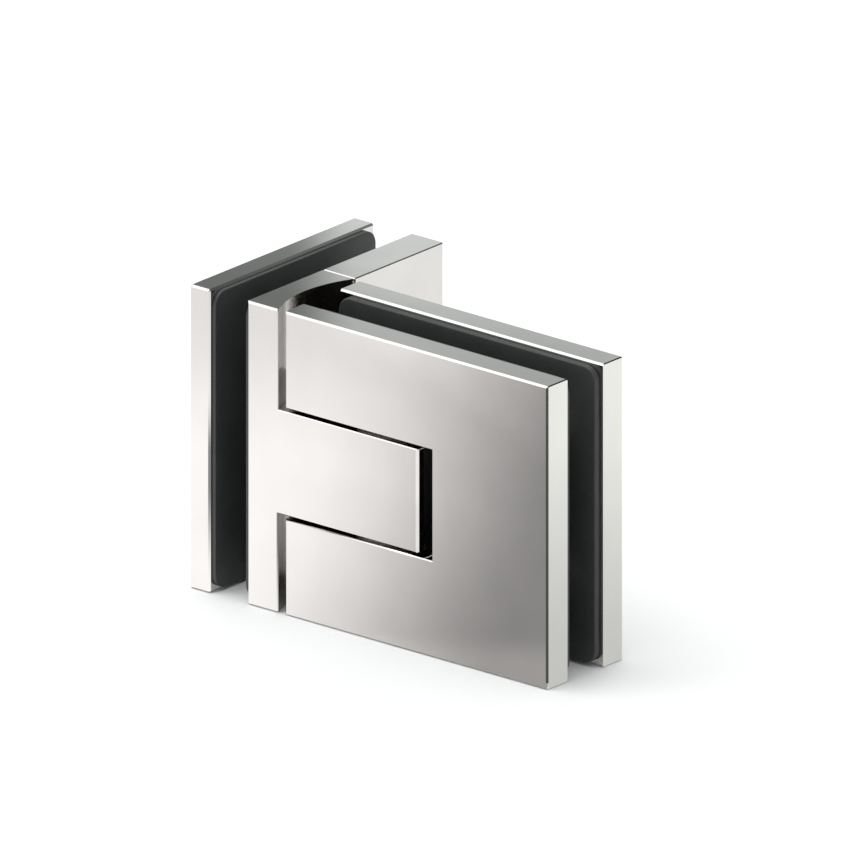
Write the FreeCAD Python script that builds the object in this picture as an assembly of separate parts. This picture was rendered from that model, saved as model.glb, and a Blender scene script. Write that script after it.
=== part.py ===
# Corner hinge for a glass shower door, swinging both ways.
# The fixed half clamps a fixed pane that runs along +Y. The door half clamps the door
# pane, which runs along +X when closed. A pivot body with a flush tongue joins them.
# Millimetres. Origin: the outer bottom corner of the pivot body, at its front left.
# +X runs along the closed door, +Y along the fixed pane and +Z up the pivot axis.

import FreeCAD, Part
import math
import os

V = FreeCAD.Vector
X_AXIS, Y_AXIS, Z_AXIS = V(1, 0, 0), V(0, 1, 0), V(0, 0, 1)

# Overall
hinge_height = 82.0
glass_thickness = 10.0
edge_chamfer = 0.5
fine_chamfer = 0.25     # round the leg's cover, and across the door plates' free ends
cut_past = 1.0          # how far a cut runs past the face it opens in
tolerance = 1e-4        # for finding edges by their place

# Door half
door_plate_thickness = 8.0
door_gasket_thickness = 2.0
door_plate_left = 12.5
door_plate_width = 87.0
gasket_inset = 0.9
gasket_corner_radius = 4.0
slot_reach = 48.7
tongue_gap = 1.0
notch_clearance = 2.2

# Fixed half
pivot_body_width = 10.3
outer_plate_thickness = 6.7
fixed_gasket_thickness = 1.2
fixed_clamp_length = 65.2
flange_thickness = 6.7
cover_wall = 1.5
cover_joint = 0.4
tongue_height = 28.0
tongue_reach = 46.2
tongue_root = 2.0       # how far inside the strip the tongue starts
swing_clearance = 1.9

# Pivot and its detent
pivot_offset = 38.0
shaft_diameter = 14.0
square_corner_land = 0.3
square_clearance = 0.05
cam_flat_depth = 1.2
running_clearance = 0.05
bushing_wall = 2.0
bushing_depth = 5.0
bushing_lip = 2.0
bushing_flange_thickness = 0.9
block_end_wall = 1.2
block_height = 12.0
plunger_diameter = 7.0
plunger_length = 8.0
plunger_web = 2.2
spring_wire = 1.0
spring_length = 11.0
spring_turns = 6
spring_inset = 0.2      # between the coil and the plunger's hole
spring_grinding = 0.3   # taken off each end of the coil
plug_length = 6.0
plug_diameter = 8.0

# Fasteners
fit_clearance = 0.05
thread_runout = 0.5     # blind hole beyond a screw's tip
head_recess = 0.2       # from a head's top to the face around it
clamp_screw_diameter = 6.0
clamp_head_diameter = 11.5
clamp_head_rim = 0.4    # straight rim above the cone
clamp_hex = 4.0
clamp_hex_depth = 2.4
clamp_thread_depth = 5.0
clamp_screw_edge = 19.0
clamp_screw_spacing = 41.0
fixed_screw_inset = 17.5
block_screw_diameter = 4.0
block_screw_head_diameter = 7.0
block_screw_head_height = 4.0
block_screw_web = 2.5
block_screw_thread = 5.5
block_hex = 3.0
sleeve_diameter = 10.0
cover_screw_diameter = 3.0
cover_screw_length = 4.0
cover_hex = 1.5
cover_hex_depth = 1.5
cover_screw_chamfer = 0.3

# Places worked out from the sizes above
door_thickness = 2 * (door_plate_thickness + door_gasket_thickness) + glass_thickness
pivot_x, pivot_y = pivot_offset, door_thickness / 2
mid_z = hinge_height / 2
door_right = door_plate_left + door_plate_width
slot_end = door_plate_left + slot_reach
slot_height = tongue_height + 2 * tongue_gap
slot_bottom, slot_top = mid_z - slot_height / 2, mid_z + slot_height / 2
tongue_bottom, tongue_top = mid_z - tongue_height / 2, mid_z + tongue_height / 2
tongue_end = pivot_body_width + tongue_reach
rear_plate_y = door_thickness - door_plate_thickness
glass_front_y = door_plate_thickness + door_gasket_thickness
glass_rear_y = glass_front_y + glass_thickness
notch_end = slot_end + notch_clearance
notch_bottom = slot_bottom - block_height - notch_clearance
notch_top = slot_top + block_height + notch_clearance
recess_radius = swing_clearance + math.hypot(pivot_x - door_plate_left, pivot_y)
flange_bottom, flange_top = cover_wall, hinge_height - cover_wall
flange_rear = fixed_clamp_length - cover_wall
cover_front = door_thickness + cover_joint
outer_gasket_x = -2 * fixed_gasket_thickness - glass_thickness
fixed_glass_x = -fixed_gasket_thickness - glass_thickness
outer_plate_left = outer_gasket_x - outer_plate_thickness
clamp_screw_zs = {
    "upper": mid_z + clamp_screw_spacing / 2,
    "lower": mid_z - clamp_screw_spacing / 2,
}
door_screw_x = door_right - clamp_screw_edge
fixed_screw_y = fixed_clamp_length - fixed_screw_inset
cover_screw_y = (fixed_screw_y + flange_rear) / 2
door_screw_length = door_thickness - door_plate_thickness + clamp_thread_depth
fixed_screw_length = flange_thickness - outer_gasket_x + clamp_thread_depth
shaft_square = shaft_diameter / math.sqrt(2) - square_corner_land
bushing_diameter = shaft_diameter + 2 * bushing_wall
bushing_flange_diameter = bushing_diameter + 2 * bushing_lip
plunger_spacing = plunger_diameter + plunger_web
plunger_zs = {"upper": mid_z + plunger_spacing / 2, "lower": mid_z - plunger_spacing / 2}
plunger_face = pivot_x - shaft_diameter / 2 - running_clearance
spring_end = plunger_face - plunger_length
spring_start = spring_end - spring_length
plug_start = spring_start - plug_length
cam_height = plunger_spacing + plunger_diameter
block_screw_spacing = shaft_square + block_screw_diameter + 2 * block_screw_web
block_length = block_screw_spacing + block_screw_head_diameter + 2 * block_end_wall
block_screw_xs = {
    "left": pivot_x - block_screw_spacing / 2,
    "right": pivot_x + block_screw_spacing / 2,
}
block_zs = {"upper": slot_top, "lower": slot_bottom - block_height}
block_screw_head_y = rear_plate_y - block_screw_head_height
block_screw_tip_y = door_plate_thickness - block_screw_thread


def box(low, high):
    """A box between two corners."""
    size = [b - a for a, b in zip(low, high)]
    return Part.makeBox(*size, V(*low))


def rod(radius, length, base, direction):
    """A round bar from base along direction."""
    return Part.makeCylinder(radius, length, V(*base), direction)


def edge_runs_along(edge, direction):
    """True for a straight edge that lies along a direction."""
    if edge.Curve.TypeId != "Part::GeomLine":
        return False
    start, end = edge.Vertexes[0].Point, edge.Vertexes[-1].Point
    return (end - start).normalize().cross(direction).Length < tolerance


def edges_on_plane(shape, axis, value):
    """The edges of a shape that lie wholly on one plane across an axis."""
    def on_plane(edge):
        return all(abs(getattr(v.Point, axis) - value) < tolerance for v in edge.Vertexes)
    return [edge for edge in shape.Edges if on_plane(edge)]


def rounded_outline(low, high, y, radius):
    """A rectangle in a plane across Y, with four round corners, as a wire."""
    (x0, z0), (x1, z1) = low, high
    slant = radius * (1 - math.sqrt(0.5))
    corners = [
        ((x0, z0 + radius), (x0 + slant, z0 + slant), (x0 + radius, z0)),
        ((x1 - radius, z0), (x1 - slant, z0 + slant), (x1, z0 + radius)),
        ((x1, z1 - radius), (x1 - slant, z1 - slant), (x1 - radius, z1)),
        ((x0 + radius, z1), (x0 + slant, z1 - slant), (x0, z1 - radius)),
    ]
    edges = []
    for index, (start, middle, end) in enumerate(corners):
        points = [V(px, y, pz) for px, pz in (start, middle, end)]
        edges.append(Part.Arc(*points).toShape())
        next_start = corners[(index + 1) % 4][0]
        edges.append(Part.LineSegment(points[2], V(next_start[0], y, next_start[1])).toShape())
    return Part.Wire(edges)


def hex_prism(width_across_flats, length, base, direction):
    """A hexagonal bar, for sockets."""
    radius = width_across_flats / math.sqrt(3)
    points = [V(radius * math.cos(math.radians(60 * k)), radius * math.sin(math.radians(60 * k)), 0)
              for k in range(7)]
    prism = Part.Face(Part.makePolygon(points)).extrude(V(0, 0, length))
    prism.Placement = FreeCAD.Placement(V(*base), FreeCAD.Rotation(Z_AXIS, direction))
    return prism


def countersunk_screw(length, head_face, direction):
    """A socket screw with a flush conical head; direction points from head to tip."""
    shank_radius, head_radius = clamp_screw_diameter / 2, clamp_head_diameter / 2
    cone_height = head_radius - shank_radius
    rim = clamp_head_rim
    profile = Part.makePolygon([
        V(0, 0, 0), V(head_radius, 0, 0), V(head_radius, 0, rim),
        V(shank_radius, 0, rim + cone_height), V(shank_radius, 0, length - edge_chamfer),
        V(shank_radius - edge_chamfer, 0, length), V(0, 0, length), V(0, 0, 0)])
    screw = Part.Face(profile).revolve(V(0, 0, 0), Z_AXIS, 360)
    screw = screw.cut(hex_prism(clamp_hex, clamp_hex_depth, (0, 0, 0), Z_AXIS))
    screw.Placement = FreeCAD.Placement(V(*head_face), FreeCAD.Rotation(Z_AXIS, direction))
    return screw


def countersunk_hole(length, head_face, direction):
    """The hole that a countersunk screw seats in, with its clearance."""
    shank_radius = clamp_screw_diameter / 2 + fit_clearance
    head_radius = clamp_head_diameter / 2 + fit_clearance
    cone_height = head_radius - shank_radius
    rim = clamp_head_rim + fit_clearance
    start = -cut_past
    profile = Part.makePolygon([
        V(0, 0, start), V(head_radius, 0, start), V(head_radius, 0, rim),
        V(shank_radius, 0, rim + cone_height), V(shank_radius, 0, length), V(0, 0, length),
        V(0, 0, start)])
    hole = Part.Face(profile).revolve(V(0, 0, 0), Z_AXIS, 360)
    hole.Placement = FreeCAD.Placement(V(*head_face), FreeCAD.Rotation(Z_AXIS, direction))
    return hole


def make_pivot_body():
    """Strip, tongue and clamp flange, milled from one bar of brass."""
    strip = box((0, 0, 0), (pivot_body_width, door_thickness, hinge_height))
    outer_edges = edges_on_plane(strip, "y", 0)
    outer_edges += [edge for edge in strip.Edges
                    if edge_runs_along(edge, Y_AXIS) and edge.CenterOfMass.x > pivot_body_width / 2]
    strip = strip.makeChamfer(edge_chamfer, outer_edges)
    swing = rod(recess_radius, hinge_height, (pivot_x, pivot_y, 0), Z_AXIS)
    middle = box((0, 0, tongue_bottom), (tongue_end, door_thickness, tongue_top))
    strip = strip.cut(swing.cut(middle))
    tongue = box((pivot_body_width - tongue_root, 0, tongue_bottom),
                 (tongue_end, door_thickness, tongue_top))
    tongue_edges = edges_on_plane(tongue, "x", tongue_end)
    for face_y in (0, door_thickness):
        tongue_edges += [edge for edge in edges_on_plane(tongue, "y", face_y)
                         if edge_runs_along(edge, X_AXIS)]
    tongue = tongue.makeChamfer(edge_chamfer / 2, tongue_edges)
    inside = 2 * edge_chamfer
    core = box((inside, edge_chamfer, tongue_bottom),
               (pivot_body_width, door_thickness - edge_chamfer, tongue_top))
    root = box((inside, 0, tongue_bottom + edge_chamfer),
               (pivot_body_width, door_thickness, tongue_top - edge_chamfer))
    flange = box((0, door_thickness, flange_bottom), (flange_thickness, flange_rear, flange_top))
    body = strip.fuse([tongue, core, root, flange]).removeSplitter()

    bore = rod(shaft_diameter / 2 + running_clearance, tongue_height,
               (pivot_x, pivot_y, tongue_bottom), Z_AXIS)
    cuts = [bore]
    seat_radius = bushing_diameter / 2 + fit_clearance
    for seat_z in (tongue_bottom, tongue_top - bushing_depth):
        cuts.append(rod(seat_radius, bushing_depth, (pivot_x, pivot_y, seat_z), Z_AXIS))
    for z in plunger_zs.values():
        cuts.append(rod(plunger_diameter / 2 + running_clearance, pivot_x, (0, pivot_y, z), X_AXIS))
        cuts.append(rod(plug_diameter / 2 + fit_clearance, spring_start, (0, pivot_y, z), X_AXIS))
    for z in clamp_screw_zs.values():
        cuts.append(countersunk_hole(flange_thickness + cut_past,
                                     (flange_thickness, fixed_screw_y, z), -X_AXIS))
    cuts.append(rod(cover_screw_diameter / 2 + fit_clearance, cover_screw_length,
                    (flange_thickness / 2, cover_screw_y, flange_bottom), Z_AXIS))
    return body.cut(cuts)


def make_leg_cover():
    """Cap over the clamp flange and its screws, open towards the glass and the tongue."""
    outer = box((0, cover_front, 0), (pivot_body_width, fixed_clamp_length, hinge_height))
    rims = [edge for edge in outer.Edges if edge.CenterOfMass.x > pivot_body_width - tolerance]
    rims += [edge for edge in edges_on_plane(outer, "y", cover_front)
             if edge_runs_along(edge, X_AXIS)]
    outer = outer.makeChamfer(fine_chamfer, rims)
    inside = box((-cut_past, cover_front - cut_past, flange_bottom),
                 (pivot_body_width - cover_wall, flange_rear, flange_top))
    screw_hole = rod(cover_screw_diameter / 2 + fit_clearance, cover_wall + 2 * cut_past,
                     (flange_thickness / 2, cover_screw_y, -cut_past), Z_AXIS)
    return outer.cut([inside, screw_hole])


def make_cover_screw():
    """Grub screw that locks the cover from below."""
    radius = cover_screw_diameter / 2
    screw = rod(radius, cover_screw_length, (0, 0, 0), Z_AXIS)
    screw = screw.makeChamfer(cover_screw_chamfer, edges_on_plane(screw, "z", cover_screw_length))
    screw = screw.cut(hex_prism(cover_hex, cover_hex_depth, (0, 0, 0), Z_AXIS))
    screw.translate(V(flange_thickness / 2, cover_screw_y, edge_chamfer))
    return screw


def make_outer_clamp_plate():
    """Plain clamp plate on the outer face of the fixed pane, with blind threads."""
    plate = box((outer_plate_left, 0, 0), (outer_gasket_x, fixed_clamp_length, hinge_height))
    plate = plate.makeChamfer(edge_chamfer, plate.Edges)
    holes = [rod(clamp_screw_diameter / 2 + fit_clearance, clamp_thread_depth + thread_runout,
                 (outer_gasket_x, fixed_screw_y, z), -X_AXIS) for z in clamp_screw_zs.values()]
    return plate.cut(holes)


def make_fixed_gasket(low_x):
    """Rubber sheet on one side of the fixed pane, with holes for the glass sleeves."""
    outline = rounded_outline((gasket_inset, gasket_inset),
                              (fixed_clamp_length - gasket_inset, hinge_height - gasket_inset),
                              0, gasket_corner_radius)
    sheet = Part.Face(outline).extrude(V(0, fixed_gasket_thickness, 0))
    sheet.Placement = FreeCAD.Placement(V(low_x + fixed_gasket_thickness, 0, 0),
                                        FreeCAD.Rotation(Z_AXIS, 90))
    holes = [rod(clamp_screw_diameter / 2 + fit_clearance, fixed_gasket_thickness,
                 (low_x, fixed_screw_y, z), X_AXIS) for z in clamp_screw_zs.values()]
    return sheet.cut(holes)


def make_sleeve(base, direction):
    """Plastic sleeve that keeps a clamp screw off the glass hole's wall."""
    sleeve = rod(sleeve_diameter / 2, glass_thickness, base, direction)
    return sleeve.cut(rod(clamp_screw_diameter / 2 + fit_clearance, glass_thickness, base, direction))


def make_bushing(seat_z, direction):
    """Flanged bush; its flange carries the door block over the tongue."""
    bush = rod(bushing_diameter / 2, bushing_depth, (0, 0, 0), Z_AXIS)
    flange = rod(bushing_flange_diameter / 2, bushing_flange_thickness, (0, 0, bushing_depth), Z_AXIS)
    bush = bush.fuse(flange).removeSplitter()
    bush = bush.cut(rod(shaft_diameter / 2 + running_clearance,
                        bushing_depth + bushing_flange_thickness, (0, 0, 0), Z_AXIS))
    bush.Placement = FreeCAD.Placement(V(pivot_x, pivot_y, seat_z), FreeCAD.Rotation(Z_AXIS, direction))
    return bush


def make_plunger(z):
    """Detent plunger whose flat nose lands on the shaft's cam flats."""
    plunger = rod(plunger_diameter / 2, plunger_length, (spring_end, pivot_y, z), X_AXIS)
    return plunger.makeChamfer(edge_chamfer, edges_on_plane(plunger, "x", spring_end))


def make_spring(z):
    """Compression spring with its ends ground flat."""
    radius = (plunger_diameter - spring_wire) / 2 - spring_inset
    coil_length = spring_length - spring_wire + 2 * spring_grinding
    helix = Part.makeHelix(coil_length / spring_turns, coil_length, radius)
    wire_section = Part.Wire(Part.makeCircle(spring_wire / 2, V(radius, 0, 0), Y_AXIS))
    coil = Part.Wire(helix).makePipeShell([wire_section], True, True)
    coil.translate(V(0, 0, spring_wire / 2 - spring_grinding))
    kept = rod(plunger_diameter, spring_length, (0, 0, 0), Z_AXIS)
    spring = coil.common(kept).Solids[0]
    spring.Placement = FreeCAD.Placement(V(spring_start, pivot_y, z), FreeCAD.Rotation(Z_AXIS, X_AXIS))
    return spring


def make_spring_plug(z):
    """Set screw behind the spring, which sets the detent's force."""
    plug = rod(plug_diameter / 2, plug_length, (plug_start, pivot_y, z), X_AXIS)
    return plug.cut(hex_prism(clamp_hex, plug_length / 2, (plug_start, pivot_y, z), X_AXIS))


def make_door_plate(y, outer_y):
    """Door clamp plate with the slot that the tongue fills."""
    plate = box((door_plate_left, y, 0), (door_right, y + door_plate_thickness, hinge_height))
    slot = box((door_plate_left - cut_past, y - cut_past, slot_bottom),
               (slot_end, y + door_plate_thickness + cut_past, slot_top))
    plate = plate.cut(slot)
    rims = edges_on_plane(plate, "y", outer_y)
    inner_y = 2 * y + door_plate_thickness - outer_y
    top_and_bottom = [edge for edge in edges_on_plane(plate, "y", inner_y)
                      if edge_runs_along(edge, X_AXIS)
                      and abs(edge.CenterOfMass.z - mid_z) > mid_z - tolerance]
    plate = plate.makeChamfer(edge_chamfer, rims + top_and_bottom)
    return plate.makeChamfer(fine_chamfer, [edge for edge in edges_on_plane(plate, "x", door_right)
                                            if edge_runs_along(edge, Y_AXIS)])


def make_front_door_plate():
    """Outer plate: no hole shows; blind threads take the clamp and block screws."""
    plate = make_door_plate(0, 0)
    cuts = [rod(clamp_screw_diameter / 2 + fit_clearance, clamp_thread_depth + thread_runout,
                (door_screw_x, door_plate_thickness, z), -Y_AXIS) for z in clamp_screw_zs.values()]
    for block_z in block_zs.values():
        for x in block_screw_xs.values():
            cuts.append(rod(block_screw_diameter / 2 + fit_clearance, block_screw_thread + thread_runout,
                            (x, door_plate_thickness, block_z + block_height / 2), -Y_AXIS))
    return plate.cut(cuts)


def make_rear_door_plate():
    """Inner plate: the two clamp screws sit flush in its back."""
    plate = make_door_plate(rear_plate_y, door_thickness)
    holes = [countersunk_hole(door_plate_thickness + cut_past, (door_screw_x, door_thickness, z), -Y_AXIS)
             for z in clamp_screw_zs.values()]
    return plate.cut(holes)


def make_door_gasket(y):
    """Rubber sheet on one side of the door pane, cut out like the pane's notch."""
    outline = rounded_outline((door_plate_left + gasket_inset, gasket_inset),
                              (door_right - gasket_inset, hinge_height - gasket_inset),
                              y, gasket_corner_radius)
    sheet = Part.Face(outline).extrude(V(0, door_gasket_thickness, 0))
    notch = box((door_plate_left - cut_past, y - cut_past, notch_bottom),
                (notch_end, y + door_gasket_thickness + cut_past, notch_top))
    inner_corners = [edge for edge in notch.Edges
                     if edge_runs_along(edge, Y_AXIS) and edge.CenterOfMass.x > notch_end - tolerance]
    notch = notch.makeFillet(gasket_corner_radius, inner_corners)
    holes = [rod(clamp_screw_diameter / 2 + fit_clearance, door_gasket_thickness,
                 (door_screw_x, y, z), Y_AXIS) for z in clamp_screw_zs.values()]
    return sheet.cut([notch] + holes)


def make_pivot_block(z):
    """Block between the door plates that grips one square end of the shaft."""
    block = box((pivot_x - block_length / 2, door_plate_thickness, z),
                (pivot_x + block_length / 2, rear_plate_y, z + block_height))
    uprights = [edge for edge in block.Edges if edge_runs_along(edge, Z_AXIS)]
    block = block.makeChamfer(edge_chamfer, uprights)
    half = shaft_square / 2 + square_clearance
    socket = box((pivot_x - half, pivot_y - half, z), (pivot_x + half, pivot_y + half, z + block_height))
    cuts = [socket]
    for x in block_screw_xs.values():
        screw_z = z + block_height / 2
        cuts.append(rod(block_screw_diameter / 2 + fit_clearance, door_thickness,
                        (x, 0, screw_z), Y_AXIS))
        cuts.append(rod(block_screw_head_diameter / 2 + fit_clearance, block_screw_head_height + cut_past,
                        (x, block_screw_head_y, screw_z), Y_AXIS))
    return block.cut(cuts)


def make_block_screw(x, z):
    """Cylinder-head screw that fixes a pivot block to the front plate."""
    head = rod(block_screw_head_diameter / 2, block_screw_head_height - head_recess,
               (x, block_screw_head_y, z), Y_AXIS)
    shank = rod(block_screw_diameter / 2, block_screw_head_y - block_screw_tip_y,
                (x, block_screw_tip_y, z), Y_AXIS)
    socket_y = rear_plate_y - head_recess
    screw = head.fuse(shank).removeSplitter()
    return screw.cut(hex_prism(block_hex, block_screw_head_height / 2, (x, socket_y, z), -Y_AXIS))


def make_pivot_shaft():
    """Steel shaft with square ends for the door and four cam flats for the detent."""
    journal_bottom, journal_top = slot_bottom, slot_top
    shaft = rod(shaft_diameter / 2, journal_top - journal_bottom,
                (pivot_x, pivot_y, journal_bottom), Z_AXIS)
    flat = shaft_diameter / 2 - cam_flat_depth
    zone_bottom, zone_top = mid_z - cam_height / 2, mid_z + cam_height / 2
    reach = shaft_diameter
    zone = box((pivot_x - reach, pivot_y - reach, zone_bottom), (pivot_x + reach, pivot_y + reach, zone_top))
    cam = box((pivot_x - flat, pivot_y - flat, zone_bottom), (pivot_x + flat, pivot_y + flat, zone_top))
    shaft = shaft.cut(zone.cut(cam))
    half = shaft_square / 2
    end_length = block_height - edge_chamfer
    square = box((pivot_x - half, pivot_y - half, journal_bottom - end_length),
                 (pivot_x + half, pivot_y + half, journal_top + end_length))
    tips = (edges_on_plane(square, "z", journal_bottom - end_length)
            + edges_on_plane(square, "z", journal_top + end_length))
    square = square.makeChamfer(edge_chamfer, tips)
    return shaft.fuse(square).removeSplitter()


def build():
    """Every node's name and solid."""
    nodes = {
        "pivot_body": make_pivot_body(),
        "leg_cover": make_leg_cover(),
        "cover_screw": make_cover_screw(),
        "outer_clamp_plate": make_outer_clamp_plate(),
        "inner_fixed_gasket": make_fixed_gasket(-fixed_gasket_thickness),
        "outer_fixed_gasket": make_fixed_gasket(outer_gasket_x),
        "upper_bushing": make_bushing(tongue_top - bushing_depth, Z_AXIS),
        "lower_bushing": make_bushing(tongue_bottom + bushing_depth, -Z_AXIS),
        "front_door_plate": make_front_door_plate(),
        "rear_door_plate": make_rear_door_plate(),
        "front_door_gasket": make_door_gasket(door_plate_thickness),
        "rear_door_gasket": make_door_gasket(glass_rear_y),
        "pivot_shaft": make_pivot_shaft(),
    }
    for place, z in clamp_screw_zs.items():
        nodes[place + "_fixed_screw"] = countersunk_screw(
            fixed_screw_length, (flange_thickness, fixed_screw_y, z), -X_AXIS)
        nodes[place + "_fixed_sleeve"] = make_sleeve((fixed_glass_x, fixed_screw_y, z), X_AXIS)
        nodes[place + "_door_screw"] = countersunk_screw(
            door_screw_length, (door_screw_x, door_thickness, z), -Y_AXIS)
        nodes[place + "_door_sleeve"] = make_sleeve((door_screw_x, glass_front_y, z), Y_AXIS)
    for place, z in plunger_zs.items():
        nodes[place + "_plunger"] = make_plunger(z)
        nodes[place + "_spring"] = make_spring(z)
        nodes[place + "_spring_plug"] = make_spring_plug(z)
    for place, z in block_zs.items():
        nodes[place + "_pivot_block"] = make_pivot_block(z)
        for side, x in block_screw_xs.items():
            nodes[f"{place}_{side}_block_screw"] = make_block_screw(x, z + block_height / 2)
    return nodes


os.makedirs("parts", exist_ok=True)
for name, shape in build().items():
    if not shape.isValid() or not shape.Solids:
        raise ValueError(name + " did not build as a valid solid")
    if len(shape.Solids) == 1:
        shape = shape.Solids[0]
    shape.exportStep(f"parts/{name}.step")
    print(name, len(shape.Solids), round(shape.Volume, 1))
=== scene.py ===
import math
import bpy
from mathutils import Matrix, Vector


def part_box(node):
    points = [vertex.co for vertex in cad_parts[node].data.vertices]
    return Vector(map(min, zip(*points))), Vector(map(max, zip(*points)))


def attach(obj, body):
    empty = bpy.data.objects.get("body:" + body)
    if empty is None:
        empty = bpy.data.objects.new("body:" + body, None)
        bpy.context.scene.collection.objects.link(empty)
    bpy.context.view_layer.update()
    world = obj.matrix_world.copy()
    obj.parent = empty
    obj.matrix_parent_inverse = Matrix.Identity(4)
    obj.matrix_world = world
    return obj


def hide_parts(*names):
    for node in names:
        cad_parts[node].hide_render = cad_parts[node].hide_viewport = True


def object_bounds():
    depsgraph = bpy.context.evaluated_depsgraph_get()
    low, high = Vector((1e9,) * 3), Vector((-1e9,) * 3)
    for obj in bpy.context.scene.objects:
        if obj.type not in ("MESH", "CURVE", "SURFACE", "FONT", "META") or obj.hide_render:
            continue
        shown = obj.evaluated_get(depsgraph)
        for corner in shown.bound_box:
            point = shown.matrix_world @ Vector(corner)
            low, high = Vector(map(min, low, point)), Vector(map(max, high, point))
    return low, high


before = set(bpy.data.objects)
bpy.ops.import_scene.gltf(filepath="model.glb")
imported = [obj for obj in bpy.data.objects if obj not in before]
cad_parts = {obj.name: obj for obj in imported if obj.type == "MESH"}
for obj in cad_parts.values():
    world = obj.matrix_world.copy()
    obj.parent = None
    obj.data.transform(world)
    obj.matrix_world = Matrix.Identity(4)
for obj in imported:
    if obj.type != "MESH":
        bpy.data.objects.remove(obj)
cad_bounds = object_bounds()
millimetre = 0.001

# Pivot body
# One bar of free-cutting brass, milled into a strip, a tongue and a clamp flange. It is ground,
# buffed on a mop and plated with nickel and bright chromium, so it mirrors the studio. Only
# the mop's faint lines and a slight haze keep it from being a perfect mirror.
chrome_tint = "#DCD8D5"
chrome_shadow_tint = "#D2CFCD"
buffing_waviness = 14 * millimetre     # the buffed faces are flat to a few micrometres over this
haze_patch = 5 * millimetre
mop_line_spacing = 0.5 * millimetre    # real lines are finer; coarse enough to show here
mop_line_stretch = (0.03, 0.03, 1.0)   # the mop runs level round the hinge
wave_height, mop_line_height = 0.02 * millimetre, 0.01 * millimetre
glossiest, haziest = 0.05, 0.09        # roughness between the haze's patches


def linear(hex_colour):
    """An sRGB hex colour as the linear RGBA that a shader takes."""
    channels = [int(hex_colour[i:i + 2], 16) / 255 for i in (1, 3, 5)]
    return [c / 12.92 if c <= 0.04045 else ((c + 0.055) / 1.055) ** 2.4 for c in channels] + [1]


def new_material(name):
    """A material with its own principled shader, and that shader."""
    material = bpy.data.materials.new(name)
    material.use_nodes = True
    return material, material.node_tree.nodes["Principled BSDF"]


def add_node(tree, kind, inputs=None, **settings):
    """Adds a node to a tree. A socket among its inputs is linked, any other value is set."""
    node = tree.nodes.new(kind)
    for name, value in settings.items():
        setattr(node, name, value)
    for name, value in (inputs or {}).items():
        if isinstance(value, bpy.types.NodeSocket):
            tree.links.new(value, node.inputs[name])
        else:
            node.inputs[name].default_value = value
    return node


def paint(material, *names):
    """Gives whole CAD nodes one material."""
    for name in names:
        for material_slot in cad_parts[name].material_slots:
            material_slot.material = material


chrome, shader = new_material("buffed_chromium_plate")
tree = chrome.node_tree
place = add_node(tree, "ShaderNodeTexCoord").outputs["Object"]
waves = add_node(tree, "ShaderNodeTexNoise",
                 {"Vector": place, "Scale": 1 / buffing_waviness, "Detail": 1.0})
stretched = add_node(tree, "ShaderNodeMapping", {"Vector": place, "Scale": mop_line_stretch})
lines = add_node(tree, "ShaderNodeTexNoise",
                 {"Vector": stretched.outputs["Vector"], "Scale": 1 / mop_line_spacing,
                  "Detail": 2.0})
haze = add_node(tree, "ShaderNodeTexNoise",
                {"Vector": place, "Scale": 1 / haze_patch, "Detail": 3.0, "Roughness": 0.6})
tint = add_node(tree, "ShaderNodeMix", data_type="RGBA")
tree.links.new(waves.outputs["Fac"], tint.inputs["Factor"])
tint.inputs["A"].default_value = linear(chrome_tint)
tint.inputs["B"].default_value = linear(chrome_shadow_tint)
roughness = add_node(tree, "ShaderNodeMapRange",
                     {"Value": haze.outputs["Fac"], "From Min": 0.3, "From Max": 0.7,
                      "To Min": glossiest, "To Max": haziest})
flatness = add_node(tree, "ShaderNodeBump",
                    {"Height": waves.outputs["Fac"], "Strength": 1.0, "Distance": wave_height})
buffed = add_node(tree, "ShaderNodeBump",
                  {"Height": lines.outputs["Fac"], "Strength": 0.15,
                   "Distance": mop_line_height, "Normal": flatness.outputs["Normal"]})
tree.links.new(tint.outputs["Result"], shader.inputs["Base Color"])
tree.links.new(roughness.outputs["Result"], shader.inputs["Roughness"])
tree.links.new(buffed.outputs["Normal"], shader.inputs["Normal"])
shader.inputs["Metallic"].default_value = 1.0

# The mop doesn't reach into the swing recess, so its wall is duller. Its tint is also deepened
# there as painted shade for the recess.
# The wall is at one radius from the pivot, above and below the tongue.
# Painted shade: this deeper grey tint stands in for the shade inside the swing recess.
recess_painted_shade_tint = "#ACA9A6"
recess_extra_roughness = 0.08
recess_radius, recess_band = 31.4 * millimetre, 0.25 * millimetre
pivot_axis = (38 * millimetre, 15 * millimetre, 0.0)
tongue_middle, tongue_half_height = 41 * millimetre, 13.9 * millimetre

body_chrome = chrome.copy()
body_chrome.name = "buffed_chromium_plate_with_dull_recess_and_painted_shade"
tree = body_chrome.node_tree
shader = tree.nodes["Principled BSDF"]
plate_colour = shader.inputs["Base Color"].links[0].from_socket
plate_roughness = shader.inputs["Roughness"].links[0].from_socket
place = add_node(tree, "ShaderNodeTexCoord").outputs["Object"]
level = add_node(tree, "ShaderNodeVectorMath", operation="MULTIPLY")
tree.links.new(place, level.inputs[0])
level.inputs[1].default_value = (1.0, 1.0, 0.0)
from_pivot = add_node(tree, "ShaderNodeVectorMath", operation="DISTANCE")
tree.links.new(level.outputs["Vector"], from_pivot.inputs[0])
from_pivot.inputs[1].default_value = pivot_axis
on_wall = add_node(tree, "ShaderNodeMath", operation="COMPARE")
tree.links.new(from_pivot.outputs["Value"], on_wall.inputs[0])
on_wall.inputs[1].default_value = recess_radius
on_wall.inputs[2].default_value = recess_band
height = add_node(tree, "ShaderNodeSeparateXYZ", {"Vector": place}).outputs["Z"]
on_tongue = add_node(tree, "ShaderNodeMath", operation="COMPARE")
tree.links.new(height, on_tongue.inputs[0])
on_tongue.inputs[1].default_value = tongue_middle
on_tongue.inputs[2].default_value = tongue_half_height
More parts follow.
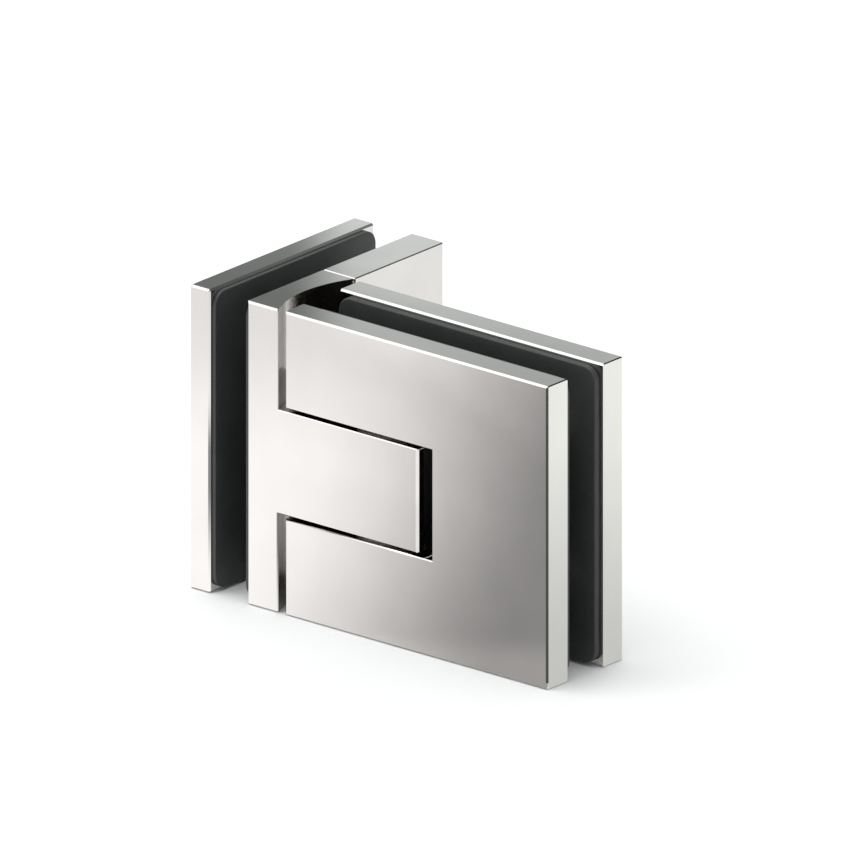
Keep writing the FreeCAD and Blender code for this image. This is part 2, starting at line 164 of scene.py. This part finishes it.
# Mask of the recess wall: it makes the wall duller and mixes in the painted shade.
dull_and_painted_shade_mask = add_node(tree, "ShaderNodeMath", operation="SUBTRACT", use_clamp=True)
tree.links.new(on_wall.outputs["Value"], dull_and_painted_shade_mask.inputs[0])
tree.links.new(on_tongue.outputs["Value"], dull_and_painted_shade_mask.inputs[1])
# Painted shade: the recess wall's colour is mixed towards the deeper grey tint.
painted_recess_shade = add_node(tree, "ShaderNodeMix", data_type="RGBA")
tree.links.new(dull_and_painted_shade_mask.outputs["Value"], painted_recess_shade.inputs["Factor"])
tree.links.new(plate_colour, painted_recess_shade.inputs["A"])
painted_recess_shade.inputs["B"].default_value = linear(recess_painted_shade_tint)
duller = add_node(tree, "ShaderNodeMath", operation="MULTIPLY_ADD")
tree.links.new(dull_and_painted_shade_mask.outputs["Value"], duller.inputs[0])
duller.inputs[1].default_value = recess_extra_roughness
tree.links.new(plate_roughness, duller.inputs[2])
tree.links.new(painted_recess_shade.outputs["Result"], shader.inputs["Base Color"])
tree.links.new(duller.outputs["Value"], shader.inputs["Roughness"])

# Fitting takes more off the tongue's upright end edges than off its rims, so that they can't catch
# in the slot. Each shows as a bright upright line.
end_break, rim_break = 0.65 * millimetre, 0.25 * millimetre
wider = end_break - rim_break
near = 0.02 * millimetre               # points are picked out by their place, this closely


def alone(thing):
    """Selects one object and nothing else."""
    bpy.ops.object.select_all(action="DESELECT")
    thing.select_set(True)
    bpy.context.view_layer.objects.active = thing


def copy_node(node, name):
    """A free copy of a CAD node with its own mesh."""
    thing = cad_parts[node].copy()
    thing.data = thing.data.copy()
    thing.name = name
    bpy.context.scene.collection.objects.link(thing)
    for key in list(thing.keys()):
        del thing[key]
    thing.parent = None
    alone(thing)
    return thing


def slide(thing, chosen, shift):
    """Moves the points of a mesh that a test picks out by their place."""
    alone(thing)
    bpy.ops.object.mode_set(mode="EDIT")
    bpy.ops.mesh.select_all(action="DESELECT")
    bpy.ops.object.mode_set(mode="OBJECT")
    for point in thing.data.vertices:
        point.select = chosen(point.co)
    bpy.ops.object.mode_set(mode="EDIT")
    bpy.ops.transform.translate(value=shift)
    bpy.ops.object.mode_set(mode="OBJECT")


body = copy_node("pivot_body", "pivot_body_fitted")
tongue_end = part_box("pivot_body")[1][0]
rim_start = tongue_end - rim_break
end_rear = max(point.co.y for point in body.data.vertices if point.co.x > tongue_end - near)
tongue_rear = end_rear + rim_break
slide(body, lambda p: (abs(p.x - rim_start) < near
                       and min(abs(p.y), abs(p.y - tongue_rear)) < near), (-wider, 0, 0))
slide(body, lambda p: abs(p.x - rim_start) < near, (rim_break - wider, 0, 0))
slide(body, lambda p: p.x > tongue_end - near and p.y < tongue_rear / 2, (0, wider, 0))
slide(body, lambda p: p.x > tongue_end - near and p.y > tongue_rear / 2, (0, -wider, 0))
body.data.materials.clear()
body.data.materials.append(body_chrome)
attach(body, "fixed_half")
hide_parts("pivot_body")

# Bushings
# Turned from white acetal with a thin flange that carries the door block. Dull and slightly
# waxy, with the lathe's fine rings on its faces.
acetal_white = "#E9E7E0"
acetal_shade = "#D9D6CD"
acetal_mottle = 2 * millimetre
ring_spacing, ring_height = 0.35 * millimetre, 0.02 * millimetre
light_reach = [0.002, 0.002, 0.0015]   # how far red, green and blue light run inside, in metres

acetal, shader = new_material("turned_acetal")
tree = acetal.node_tree
place = add_node(tree, "ShaderNodeTexCoord").outputs["Object"]
mottle = add_node(tree, "ShaderNodeTexNoise",
                  {"Vector": place, "Scale": 1 / acetal_mottle, "Detail": 3.0})
tint = add_node(tree, "ShaderNodeMix", data_type="RGBA")
tree.links.new(mottle.outputs["Fac"], tint.inputs["Factor"])
tint.inputs["A"].default_value = linear(acetal_white)
tint.inputs["B"].default_value = linear(acetal_shade)
rings = add_node(tree, "ShaderNodeTexNoise",
                 {"Vector": place, "Scale": 1 / ring_spacing, "Detail": 1.0})
grain = add_node(tree, "ShaderNodeBump",
                 {"Height": rings.outputs["Fac"], "Strength": 0.3, "Distance": ring_height})
tree.links.new(tint.outputs["Result"], shader.inputs["Base Color"])
tree.links.new(grain.outputs["Normal"], shader.inputs["Normal"])
shader.inputs["Roughness"].default_value = 0.42
shader.inputs["Subsurface Weight"].default_value = 0.15
shader.inputs["Subsurface Radius"].default_value = light_reach
paint(acetal, "upper_bushing", "lower_bushing",
      "upper_fixed_sleeve", "lower_fixed_sleeve", "upper_door_sleeve", "lower_door_sleeve")

# Pivot shaft and plungers
# Stainless bar, turned to size, with its cam flats and square ends milled. Bright but not
# polished: fine turning marks spread the highlights.
stainless_tint = "#C4C2BE"
stainless_dark = "#A9A7A3"
turning_pitch, turning_depth = 0.3 * millimetre, 0.02 * millimetre
stain_size = 4 * millimetre

stainless, shader = new_material("turned_stainless_steel")
tree = stainless.node_tree
place = add_node(tree, "ShaderNodeTexCoord").outputs["Object"]
marks = add_node(tree, "ShaderNodeTexNoise",
                 {"Vector": place, "Scale": 1 / turning_pitch, "Detail": 2.0})
stain = add_node(tree, "ShaderNodeTexNoise",
                 {"Vector": place, "Scale": 1 / stain_size, "Detail": 3.0})
tint = add_node(tree, "ShaderNodeMix", data_type="RGBA")
tree.links.new(stain.outputs["Fac"], tint.inputs["Factor"])
tint.inputs["A"].default_value = linear(stainless_tint)
tint.inputs["B"].default_value = linear(stainless_dark)
roughness = add_node(tree, "ShaderNodeMapRange",
                     {"Value": marks.outputs["Fac"], "From Min": 0.3, "From Max": 0.7,
                      "To Min": 0.2, "To Max": 0.34})
turned = add_node(tree, "ShaderNodeBump",
                  {"Height": marks.outputs["Fac"], "Strength": 0.3, "Distance": turning_depth})
tree.links.new(tint.outputs["Result"], shader.inputs["Base Color"])
tree.links.new(roughness.outputs["Result"], shader.inputs["Roughness"])
tree.links.new(turned.outputs["Normal"], shader.inputs["Normal"])
shader.inputs["Metallic"].default_value = 1.0
paint(stainless, "pivot_shaft", "upper_plunger", "lower_plunger")

# Springs
# Wound from drawn spring steel wire, oil blackened, with ground ends. The die leaves faint
# lighter streaks in the wire, and its oiled skin is smooth enough to shine.
wire_tint = "#6F6C68"
wire_worn = "#8E8B86"
draw_mark = 0.8 * millimetre

spring_wire, shader = new_material("drawn_spring_wire")
tree = spring_wire.node_tree
place = add_node(tree, "ShaderNodeTexCoord").outputs["Object"]
drawn = add_node(tree, "ShaderNodeTexNoise",
                 {"Vector": place, "Scale": 1 / draw_mark, "Detail": 3.0})
tint = add_node(tree, "ShaderNodeMix", data_type="RGBA")
tree.links.new(drawn.outputs["Fac"], tint.inputs["Factor"])
tint.inputs["A"].default_value = linear(wire_tint)
tint.inputs["B"].default_value = linear(wire_worn)
tree.links.new(tint.outputs["Result"], shader.inputs["Base Color"])
shader.inputs["Metallic"].default_value = 1.0
shader.inputs["Roughness"].default_value = 0.3
paint(spring_wire, "upper_spring", "lower_spring")

# Spring plugs, block screws, clamp screws and cover screw
# Stainless socket screws: headed or turned blank, then thread rolled. Fine rings from the lathe
# run round the flat of each head, and a small edge break catches the light.
screw_tint = "#C9C7C3"
screw_dark = "#ABA9A5"
ring_pitch, ring_depth = 0.45 * millimetre, 0.006 * millimetre
screw_stain = 3 * millimetre
screw_sides = 48
thread_steps = 36
thread_depth = 0.55                    # this and the next four are shares of a thread's pitch
ridge_radius = 0.41
point_chamfer = 0.6
thread_start = 0.1
edge_break = 0.12
same_place = 0.001 * millimetre

screw_steel, shader = new_material("turned_stainless_screw")
tree = screw_steel.node_tree
from_axis = add_node(tree, "ShaderNodeAttribute", attribute_name="from_axis").outputs["Fac"]
phase = add_node(tree, "ShaderNodeMath", operation="MULTIPLY")
tree.links.new(from_axis, phase.inputs[0])
phase.inputs[1].default_value = 2 * math.pi / ring_pitch
ring = add_node(tree, "ShaderNodeMath", operation="SINE")
tree.links.new(phase.outputs["Value"], ring.inputs[0])
place = add_node(tree, "ShaderNodeTexCoord").outputs["Object"]
stain = add_node(tree, "ShaderNodeTexNoise",
                 {"Vector": place, "Scale": 1 / screw_stain, "Detail": 3.0})
tint = add_node(tree, "ShaderNodeMix", data_type="RGBA")
tree.links.new(stain.outputs["Fac"], tint.inputs["Factor"])
tint.inputs["A"].default_value = linear(screw_tint)
tint.inputs["B"].default_value = linear(screw_dark)
turned = add_node(tree, "ShaderNodeBump",
                  {"Height": ring.outputs["Value"], "Strength": 0.5, "Distance": ring_depth})
tree.links.new(tint.outputs["Result"], shader.inputs["Base Color"])
tree.links.new(turned.outputs["Normal"], shader.inputs["Normal"])
shader.inputs["Metallic"].default_value = 1.0
shader.inputs["Roughness"].default_value = 0.24


def apply_modifier(thing, kind, **settings):
    """Adds a modifier with its settings and applies it."""
    modifier = thing.modifiers.new(kind.lower(), kind)
    for name, value in settings.items():
        setattr(modifier, name, value)
    alone(thing)
    bpy.ops.object.modifier_apply(modifier=modifier.name)


def turn_blank(name, sections):
    """A bar along +Z whose radius at each depth is given, in order from the head's face."""
    bpy.ops.object.select_all(action="DESELECT")
    first_radius, first_depth = sections[0]
    bpy.ops.mesh.primitive_circle_add(vertices=screw_sides, radius=first_radius,
                                      fill_type="NGON", location=(0, 0, first_depth))
    blank = bpy.context.object
    blank.name = name
    bpy.ops.object.transform_apply(location=True, rotation=False, scale=False)
    bpy.ops.object.mode_set(mode="EDIT")
    bpy.ops.mesh.select_all(action="SELECT")
    for (radius_before, depth_before), (radius, depth) in zip(sections, sections[1:]):
        bpy.ops.mesh.extrude_region_move(
            TRANSFORM_OT_translate={"value": (0, 0, depth - depth_before)})
        bpy.ops.transform.resize(value=(radius / radius_before, radius / radius_before, 1.0))
    bpy.ops.mesh.select_all(action="SELECT")
    bpy.ops.mesh.normals_make_consistent(inside=False)
    bpy.ops.object.mode_set(mode="OBJECT")
    return blank


def broach_hexagon(blank, across_flats, depth):
    """Cuts a hexagon socket into the head's face, which lies at depth 0."""
    bpy.ops.object.select_all(action="DESELECT")
    bpy.ops.mesh.primitive_cylinder_add(vertices=6, radius=across_flats / math.sqrt(3),
                                        depth=2 * depth, location=(0, 0, 0))
    broach = bpy.context.object
    apply_modifier(blank, "BOOLEAN", operation="DIFFERENCE", solver="EXACT", object=broach)
    bpy.data.objects.remove(broach)


def roll_thread(name, radius, pitch, start, end):
    """A 60 degree ridge wound round +Z between two depths and cut flat at its ends."""
    corner = ridge_radius * pitch
    turns = math.ceil((end - start) / pitch) + 2
    bpy.ops.object.select_all(action="DESELECT")
    bpy.ops.mesh.primitive_circle_add(vertices=3, radius=corner, fill_type="NOTHING",
                                      rotation=(0, 0, -math.pi / 2),
                                      location=(radius - corner, 0, 0))
    ridge = bpy.context.object
    ridge.name = name
    bpy.ops.object.transform_apply(location=True, rotation=True, scale=False)
    bpy.ops.object.mode_set(mode="EDIT")
    bpy.ops.mesh.select_all(action="SELECT")
    bpy.ops.transform.rotate(value=math.pi / 2, orient_axis="X",
                             center_override=(radius - corner, 0, 0))
    bpy.ops.transform.translate(value=(0, 0, start - pitch))
    bpy.ops.object.mode_set(mode="OBJECT")
    apply_modifier(ridge, "SCREW", axis="Z", angle=2 * math.pi, screw_offset=pitch,
                   iterations=turns, steps=thread_steps, render_steps=thread_steps)
    bpy.ops.object.mode_set(mode="EDIT")
    bpy.ops.mesh.select_all(action="SELECT")
    bpy.ops.mesh.remove_doubles(threshold=same_place)
    bpy.ops.mesh.select_all(action="SELECT")
    bpy.ops.mesh.bisect(plane_co=(0, 0, start), plane_no=(0, 0, 1), use_fill=True,
                        clear_inner=True, threshold=same_place)
    bpy.ops.mesh.select_all(action="SELECT")
    bpy.ops.mesh.bisect(plane_co=(0, 0, end), plane_no=(0, 0, 1), use_fill=True,
                        clear_outer=True, threshold=same_place)
    bpy.ops.mesh.select_all(action="SELECT")
    bpy.ops.mesh.normals_make_consistent(inside=False)
    bpy.ops.object.mode_set(mode="OBJECT")
    return ridge


def fit_screw(node, body, drive_from, head, radius, pitch, thread_length, across_flats,
              socket_depth):
    """Makes a screw as long as its CAD node and puts it in that node's place. drive_from is
    the way its head faces, and head lists the head's radius at each depth."""
    low, high = (Vector(corner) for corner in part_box(node))
    facing = Vector(drive_from)
    length = abs((high - low).dot(facing))
    face = (low + high) / 2 + facing * length / 2
    core = radius - thread_depth * pitch
    neck = length - thread_length
    chamfer = point_chamfer * pitch
    shank = [(radius, neck), (core, neck)] if neck > head[-1][1] else []
    blank = turn_blank(node + "_threaded",
                       head + shank + [(core, length - chamfer), (core - chamfer / 2, length)])
    broach_hexagon(blank, across_flats, socket_depth)
    apply_modifier(blank, "BEVEL", width=edge_break * pitch, segments=2,
                   limit_method="ANGLE", angle_limit=math.radians(40))
    apply_modifier(blank, "WELD", merge_threshold=same_place)
    ridge = roll_thread("ridge", radius, pitch, neck + thread_start * pitch, length - chamfer)
    alone(blank)
    ridge.select_set(True)
    bpy.ops.object.join()
    reach = blank.data.attributes.new("from_axis", "FLOAT", "POINT")
    for vertex in blank.data.vertices:
        reach.data[vertex.index].value = math.hypot(vertex.co.x, vertex.co.y)
    turn = Vector((0, 0, 1)).rotation_difference(-facing).to_matrix().to_4x4()
    blank.matrix_world = Matrix.Translation(face) @ turn
    alone(blank)
    bpy.ops.object.transform_apply(location=True, rotation=True, scale=True)
    bpy.ops.object.shade_smooth_by_angle(angle=math.radians(30))
    blank.data.materials.append(screw_steel)
    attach(blank, body)
    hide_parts(node)


plug_radius, plug_pitch = 4.0 * millimetre, 1.0 * millimetre
plug_face = [(plug_radius - plug_pitch, 0.0),
             (plug_radius - thread_depth * plug_pitch, 0.5 * plug_pitch)]
for node in ("upper_spring_plug", "lower_spring_plug"):
    fit_screw(node, "fixed_half", (-1, 0, 0), plug_face, plug_radius, plug_pitch,
              thread_length=5.6 * millimetre, across_flats=4.0 * millimetre,
              socket_depth=3.0 * millimetre)

block_head_radius, block_head_height = 3.5 * millimetre, 3.8 * millimetre
block_head = [(block_head_radius, 0.0), (block_head_radius, block_head_height)]
for node in (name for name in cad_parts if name.endswith("_block_screw")):
    fit_screw(node, "door_half", (0, 1, 0), block_head, radius=2.0 * millimetre,
              pitch=0.7 * millimetre, thread_length=7.0 * millimetre,
              across_flats=3.0 * millimetre, socket_depth=2.0 * millimetre)

clamp_head_radius, clamp_head_rim = 5.75 * millimetre, 0.4 * millimetre
clamp_radius = 3.0 * millimetre
clamp_head = [(clamp_head_radius, 0.0), (clamp_head_radius, clamp_head_rim),
              (clamp_radius, clamp_head_rim + clamp_head_radius - clamp_radius)]
for node, body, facing in (("upper_door_screw", "door_half", (0, 1, 0)),
                           ("lower_door_screw", "door_half", (0, 1, 0)),
                           ("upper_fixed_screw", "fixed_half", (1, 0, 0)),
                           ("lower_fixed_screw", "fixed_half", (1, 0, 0))):
    fit_screw(node, body, facing, clamp_head, clamp_radius, pitch=1.0 * millimetre,
              thread_length=9.0 * millimetre, across_flats=4.0 * millimetre,
              socket_depth=2.4 * millimetre)

grub_radius, grub_pitch = 1.5 * millimetre, 0.5 * millimetre
grub_face = [(grub_radius - 0.9 * grub_pitch, 0.0),
             (grub_radius - thread_depth * grub_pitch, 0.35 * grub_pitch)]
fit_screw("cover_screw", "fixed_half", (0, 0, -1), grub_face, grub_radius, grub_pitch,
          thread_length=3.9 * millimetre, across_flats=1.5 * millimetre,
          socket_depth=1.5 * millimetre)

# Pivot blocks
# Cut from cold drawn steel bar and left as milled, because the door half hides them. The cutter
# leaves upright marks, and the bare steel is a dull warm grey.
milled_tint = "#A29F9B"
milled_dull = "#807D79"
cutter_pitch, cutter_depth = 0.6 * millimetre, 0.02 * millimetre

milled_steel, shader = new_material("milled_steel")
tree = milled_steel.node_tree
place = add_node(tree, "ShaderNodeTexCoord").outputs["Object"]
cutter = add_node(tree, "ShaderNodeMapping", {"Vector": place, "Scale": (1.0, 1.0, 0.05)})
marks = add_node(tree, "ShaderNodeTexNoise",
                 {"Vector": cutter.outputs["Vector"], "Scale": 1 / cutter_pitch, "Detail": 2.0})
tint = add_node(tree, "ShaderNodeMix", data_type="RGBA")
tree.links.new(marks.outputs["Fac"], tint.inputs["Factor"])
tint.inputs["A"].default_value = linear(milled_tint)
tint.inputs["B"].default_value = linear(milled_dull)
milled = add_node(tree, "ShaderNodeBump",
                  {"Height": marks.outputs["Fac"], "Strength": 0.4, "Distance": cutter_depth})
tree.links.new(tint.outputs["Result"], shader.inputs["Base Color"])
tree.links.new(milled.outputs["Normal"], shader.inputs["Normal"])
shader.inputs["Metallic"].default_value = 1.0
shader.inputs["Roughness"].default_value = 0.34
paint(milled_steel, "upper_pivot_block", "lower_pivot_block")

# Clamp plates and cover
# Flat brass bar with its rims chamfered, plated with the pivot body so that they match. The front
# plate's slot has a finer edge than the rims, so only a hairline of light runs along the joint
# round the tongue.
paint(chrome, "rear_door_plate", "outer_clamp_plate", "leg_cover")

plate_chamfer, slot_break = 0.5 * millimetre, 0.25 * millimetre
finer = plate_chamfer - slot_break

plate = copy_node("front_door_plate", "front_door_plate_fitted")
corners = [point.co for point in plate.data.vertices if abs(point.co.y - plate_chamfer) < near]
plate_left = min(p.x for p in corners)
slot_low, slot_high = sorted({round(p.z, 5) for p in corners if p.x < plate_left + near})[1:3]
slot_end = max(p.x for p in corners if abs(p.z - slot_low) < near)
slide(plate, lambda p: (abs(p.y - plate_chamfer) < near and abs(p.x - slot_end) < near),
      (0, -finer, 0))
slide(plate, lambda p: abs(p.y) < near and abs(p.x - slot_end - plate_chamfer) < near,
      (-finer, 0, 0))
slide(plate, lambda p: abs(p.y) < near and abs(p.z - slot_low + plate_chamfer) < near,
      (0, 0, finer))
slide(plate, lambda p: abs(p.y) < near and abs(p.z - slot_high - plate_chamfer) < near,
      (0, 0, -finer))
plate.data.materials.clear()
plate.data.materials.append(chrome)
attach(plate, "door_half")
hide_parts("front_door_plate")

# Gaskets
# Cut from black rubber sheet, one to each face that clamps. Matt, with a fine grain from the
# press, a little grey bloom, and a soft rim where the plates squeeze it.
rubber_black = "#2C2E2E"
rubber_bloom = "#3C3E3E"
bloom_size = 8 * millimetre
grain_size, grain_height = 0.6 * millimetre, 0.06 * millimetre
rim_radius = 0.5 * millimetre
rim_segments = 3

rubber, shader = new_material("black_sheet_rubber")
tree = rubber.node_tree
place = add_node(tree, "ShaderNodeTexCoord").outputs["Object"]
bloom = add_node(tree, "ShaderNodeTexNoise",
                 {"Vector": place, "Scale": 1 / bloom_size, "Detail": 4.0})
tint = add_node(tree, "ShaderNodeMix", data_type="RGBA")
tree.links.new(bloom.outputs["Fac"], tint.inputs["Factor"])
tint.inputs["A"].default_value = linear(rubber_black)
tint.inputs["B"].default_value = linear(rubber_bloom)
pressed = add_node(tree, "ShaderNodeTexNoise",
                   {"Vector": place, "Scale": 1 / grain_size, "Detail": 2.0})
grain = add_node(tree, "ShaderNodeBump",
                 {"Height": pressed.outputs["Fac"], "Strength": 0.5, "Distance": grain_height})
tree.links.new(tint.outputs["Result"], shader.inputs["Base Color"])
tree.links.new(grain.outputs["Normal"], shader.inputs["Normal"])
shader.inputs["Roughness"].default_value = 0.5


def soft_gasket(node, body):
    """The CAD sheet again, with its outer edges rolled over as squeezed rubber is."""
    gasket = copy_node(node, node + "_soft")
    bpy.ops.object.mode_set(mode="EDIT")
    bpy.ops.mesh.select_all(action="SELECT")
    bpy.ops.mesh.remove_doubles(threshold=same_place)
    bpy.ops.mesh.dissolve_limited(angle_limit=math.radians(1))
    bpy.ops.object.mode_set(mode="OBJECT")
    apply_modifier(gasket, "BEVEL", width=rim_radius, segments=rim_segments,
                   limit_method="ANGLE", angle_limit=math.radians(50), use_clamp_overlap=True)
    bpy.ops.object.shade_smooth_by_angle(angle=math.radians(35))
    gasket.data.materials.clear()
    gasket.data.materials.append(rubber)
    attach(gasket, body)
    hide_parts(node)


for node in ("front_door_gasket", "rear_door_gasket"):
    soft_gasket(node, "door_half")
for node in ("inner_fixed_gasket", "outer_fixed_gasket"):
    soft_gasket(node, "fixed_half")

# Studio
# A pale paper floor, a pale sky and three softboxes. Polished chrome shows what it mirrors, so
# graded cards and flags stand round the hinge as in a product studio. Only reflections see them.
floor_half_width = 3.0
floor_colour = "#F3F5F4"
sky_colour = "#F1F2F3"
sky_strength, strength_under_floor = 0.72, 1.12
hinge_centre = Vector((0.03519, 0.02953, 0.04767))

bpy.ops.object.select_all(action="DESELECT")
bpy.ops.mesh.primitive_plane_add(size=2 * floor_half_width, location=(0, 0, 0))
floor = bpy.context.object
floor.name = "studio_floor"
paper, shader = new_material("studio_paper")
shader.inputs["Base Color"].default_value = linear(floor_colour)
shader.inputs["Roughness"].default_value = 0.9
floor.data.materials.append(paper)

world = bpy.data.worlds.new("studio_sky")
bpy.context.scene.world = world
world.use_nodes = True
sky = world.node_tree.nodes["Background"]
sky.inputs["Color"].default_value = linear(sky_colour)
# Below the horizon the sky is as bright as the lit paper, so a low view that looks in under the
# floor's plane shows no band. The floor keeps that light off the hinge.
tree = world.node_tree
direction = add_node(tree, "ShaderNodeTexCoord").outputs["Generated"]
rise = add_node(tree, "ShaderNodeSeparateXYZ", {"Vector": direction}).outputs["Z"]
strength = add_node(tree, "ShaderNodeMapRange",
                    {"Value": rise, "From Min": -0.02, "From Max": 0.0,
                     "To Min": strength_under_floor, "To Max": sky_strength})
tree.links.new(strength.outputs["Result"], sky.inputs["Strength"])


def soft_light(name, place, side, watts):
    """A square soft light that points at the hinge and isn't seen itself."""
    lamp = bpy.data.lights.new(name, "AREA")
    lamp.shape = "RECTANGLE"
    lamp.size, lamp.size_y, lamp.energy = side, side, watts
    light = bpy.data.objects.new(name, lamp)
    bpy.context.scene.collection.objects.link(light)
    light.location = place
    light.rotation_euler = (hinge_centre - Vector(place)).to_track_quat("-Z", "Y").to_euler()
    light.visible_camera = False


def graded_card(name, hue, inner, outer, grades):
    """A card that only reflections see. It is full inside the inner outline and fades out to the
    outer one. Each grade is (direction, from, to, low, high): the light goes smoothly from low
    to high between two distances in metres along the direction."""
    count = len(inner)
    mesh = bpy.data.meshes.new(name)
    rim = [(k, (k + 1) % count, (k + 1) % count + count, k + count) for k in range(count)]
    mesh.from_pydata(inner + outer, [], [tuple(range(count))] + rim)
    fullness = mesh.attributes.new("fullness", "FLOAT", "POINT")
    for k in range(count):
        fullness.data[k].value = 1.0
    card = bpy.data.objects.new(name, mesh)
    bpy.context.scene.collection.objects.link(card)
    material = bpy.data.materials.new(name)
    material.use_nodes = True
    tree = material.node_tree
    tree.nodes.remove(tree.nodes["Principled BSDF"])
    place = add_node(tree, "ShaderNodeTexCoord").outputs["Object"]
    brightness = add_node(tree, "ShaderNodeValue").outputs["Value"]
    brightness.default_value = 1.0
    for direction, start, end, low, high in grades:
        along = add_node(tree, "ShaderNodeVectorMath", operation="DOT_PRODUCT")
        tree.links.new(place, along.inputs[0])
        along.inputs[1].default_value = direction
        fall = add_node(tree, "ShaderNodeMapRange",
                        {"Value": along.outputs["Value"], "From Min": start, "From Max": end,
                         "To Min": low, "To Max": high}, interpolation_type="SMOOTHSTEP")
        product = add_node(tree, "ShaderNodeMath", operation="MULTIPLY")
        tree.links.new(brightness, product.inputs[0])
        tree.links.new(fall.outputs["Result"], product.inputs[1])
        brightness = product.outputs["Value"]
    glow = add_node(tree, "ShaderNodeEmission", {"Strength": brightness, "Color": linear(hue)})
    clear = add_node(tree, "ShaderNodeBsdfTransparent")
    full = add_node(tree, "ShaderNodeAttribute", attribute_name="fullness")
    fade = add_node(tree, "ShaderNodeMapRange", {"Value": full.outputs["Fac"]},
                    interpolation_type="SMOOTHSTEP")
    blended = add_node(tree, "ShaderNodeMixShader", {"Fac": fade.outputs["Result"]})
    tree.links.new(clear.outputs["BSDF"], blended.inputs[1])
    tree.links.new(glow.outputs["Emission"], blended.inputs[2])
    tree.links.new(blended.outputs["Shader"], tree.nodes["Material Output"].inputs["Surface"])
    mesh.materials.append(material)
    for ray in ("camera", "diffuse", "transmission", "volume_scatter", "shadow"):
        setattr(card, "visible_" + ray, False)


soft_light("overhead_softbox", (-0.1, -0.2, 1.3), side=1.2, watts=9)
soft_light("key_softbox", (-0.6, -0.35, 0.8), side=0.9, watts=2.8)
soft_light("rim_softbox", (-0.15, 0.95, 0.75), side=0.6, watts=3)

card_lift = 0.3 * millimetre
left, right = cad_bounds[0][0], cad_bounds[1][0]
back = cad_bounds[1][1]
graded_card("front_card", "#FFFFFF",
            [(left, 0.0, card_lift), (-0.19, -0.19, card_lift), (0.40, -0.22, card_lift),
             (right, 0.0, card_lift)],
            [(left, 0.0, card_lift), (-0.52, -0.10, card_lift), (0.62, -0.24, card_lift),
             (right, 0.0, card_lift)],
            [((1.0, -0.60, 0.0), -0.010, 0.082, 1.42, 0.36),
             ((1.0, -0.60, 0.0), 0.105, 0.150, 1.0, 3.1),
             ((0.0, -1.0, 0.0), 0.080, 0.17, 1.0, 0.78),
             ((0.20, 0.31, 0.0), 0.005, 0.014, 1.0, 1.33),
             ((0.30, -0.73, 0.0), 0.089, 0.099, 1.0, 1.14)])
graded_card("side_card", "#FAFFFC",
            [(right, 0.0, card_lift), (0.28, 0.12, card_lift), (0.28, 0.26, card_lift),
             (right, back / 2, card_lift)],
            [(right, 0.0, card_lift), (0.45, 0.0, card_lift), (0.38, 0.46, card_lift),
             (right, back / 2, card_lift)],
            [((1.0, 1.0, 0.0), 0.10, 0.42, 0.82, 1.26)])
flag_lift = 2 * card_lift
flag_along, flag_across = Vector((0.766, -0.643, 0.0)), Vector((0.643, 0.766, 0.0))
flag_near, flag_far = Vector((0.102, -0.002, flag_lift)), Vector((0.320, -0.187, flag_lift))
graded_card("edge_flag", "#5C5C59",
            [tuple(flag_near - 0.004 * flag_across), tuple(flag_far - 0.020 * flag_across),
             tuple(flag_far + 0.030 * flag_across), tuple(flag_near + 0.006 * flag_across)],
            [tuple(flag_near - 0.007 * flag_across), tuple(flag_far - 0.048 * flag_across),
             tuple(flag_far + 0.080 * flag_across + 0.06 * flag_along),
             tuple(flag_near + 0.012 * flag_across)],
            [])
back_card_y = 0.25
graded_card("back_card", "#F8FFFE",
            [(-0.6, back_card_y, 0.12), (0.0, back_card_y, 0.12),
             (0.0, back_card_y, 0.30), (-0.6, back_card_y, 0.30)],
            [(-0.8, back_card_y, 0.03), (0.15, back_card_y, 0.03),
             (0.15, back_card_y, 0.42), (-0.8, back_card_y, 0.42)],
            [((1.0, 0.0, 0.0), -0.197, -0.172, 0.22, 0.60),
             ((1.0, 0.0, 0.0), -0.160, -0.100, 1.0, 0.84),
             ((0.0, 0.0, 1.0), 0.172, 0.200, 1.45, 1.0)])
dark_card_y = 0.70
graded_card("dark_card", "#141414",
            [(0.22, dark_card_y, 0.50), (0.52, dark_card_y, 0.50),
             (0.52, dark_card_y, 0.78), (0.22, dark_card_y, 0.78)],
            [(0.10, dark_card_y, 0.38), (0.66, dark_card_y, 0.38),
             (0.66, dark_card_y, 0.92), (0.10, dark_card_y, 0.92)],
            [])

# Camera
# The photograph's view: no perspective shows, from 40 degrees round to the right of the hinge's
# front and 20 degrees above it.
view_azimuth, view_elevation = math.radians(40), math.radians(20)
view_width = 0.2173
view_distance = 1.2
towards_camera = Vector((math.cos(view_elevation) * math.sin(view_azimuth),
                         -math.cos(view_elevation) * math.cos(view_azimuth),
                         math.sin(view_elevation)))
camera_data = bpy.data.cameras.new("camera")
camera_data.type = "ORTHO"
camera_data.ortho_scale = view_width
camera = bpy.data.objects.new("camera", camera_data)
bpy.context.scene.collection.objects.link(camera)
camera.location = hinge_centre + view_distance * towards_camera
camera.rotation_euler = (-towards_camera).to_track_quat("-Z", "Y").to_euler()
bpy.context.scene.camera = camera
bpy.context.scene.view_settings.view_transform = "Standard"
